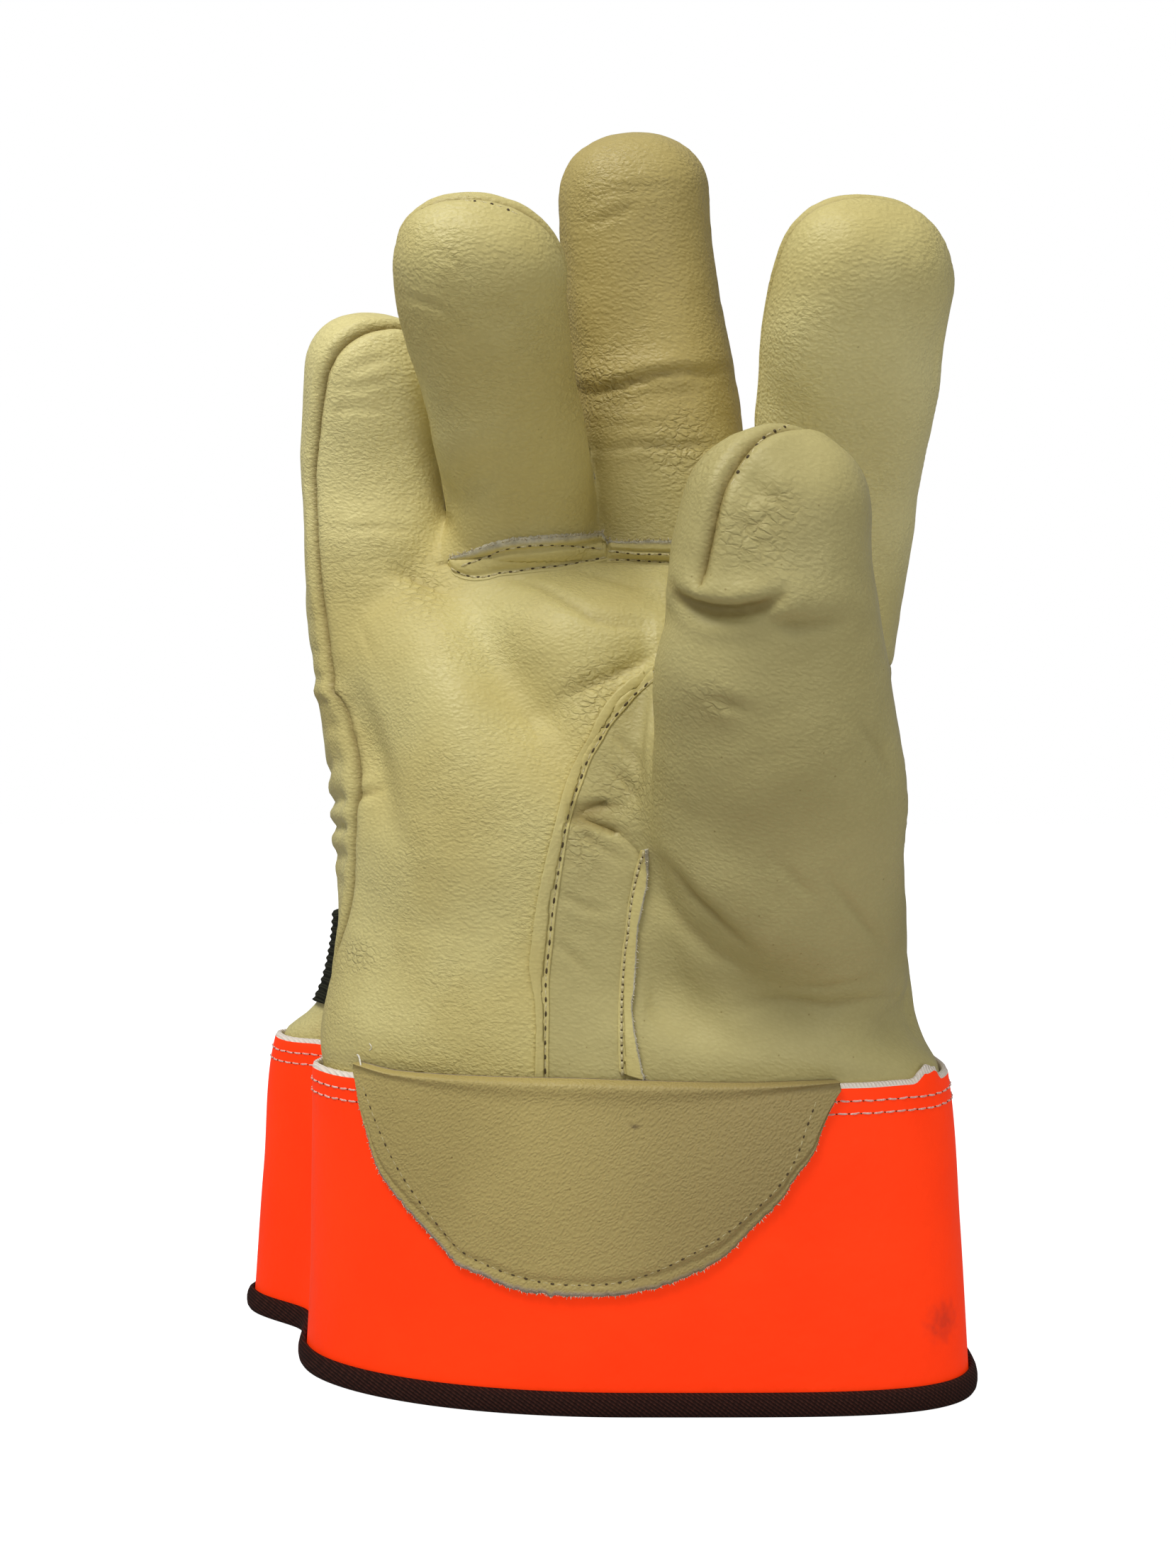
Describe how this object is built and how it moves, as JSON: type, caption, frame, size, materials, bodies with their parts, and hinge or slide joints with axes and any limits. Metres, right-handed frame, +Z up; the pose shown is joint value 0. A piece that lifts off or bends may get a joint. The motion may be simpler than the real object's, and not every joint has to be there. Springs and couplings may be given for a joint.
{
  "type": "leather protector glove",
  "caption": "Right-hand leather work glove with curved fingers, a stiff bright cuff, a bound lower edge, a half-moon cuff patch and a strap round the back of the wrist.",
  "frame": {"origin": "bottom centre of the whole glove, on the surface that the cuff stands on", "axes": "+Z up from the cuff to the fingertips; the palm faces -Y; the thumb is on the +X side"},
  "size_m": [0.167, 0.1182, 0.2664],
  "materials": {
    "leather": "pale cream grain leather, fine pebble grain, soft sheen",
    "raw_leather": "cut edge of grain leather, matte and fibrous",
    "patch_leather": "slightly darker grain leather with a rough cut edge",
    "vinyl": "bright orange vinyl-coated cloth, satin",
    "binding": "dark brown woven tape",
    "webbing": "near-black olive ribbed webbing",
    "thread": "pale waxed sewing thread"
  },
  "bodies": {
    "root": {"palm": "leather", "back": "leather", "ring_finger_front": "leather", "middle_finger_front": "leather", "thumb_outer": "leather", "thumb_inner": "leather", "ring_seam_welt": "raw_leather", "middle_seam_welt": "raw_leather", "palm_seam_strip": "raw_leather", "thumb_seam_strip": "raw_leather", "palm_patch": "patch_leather", "cuff": "vinyl", "cuff_binding": "binding", "wrist_strap": "webbing"}
  },
  "joints": []
}
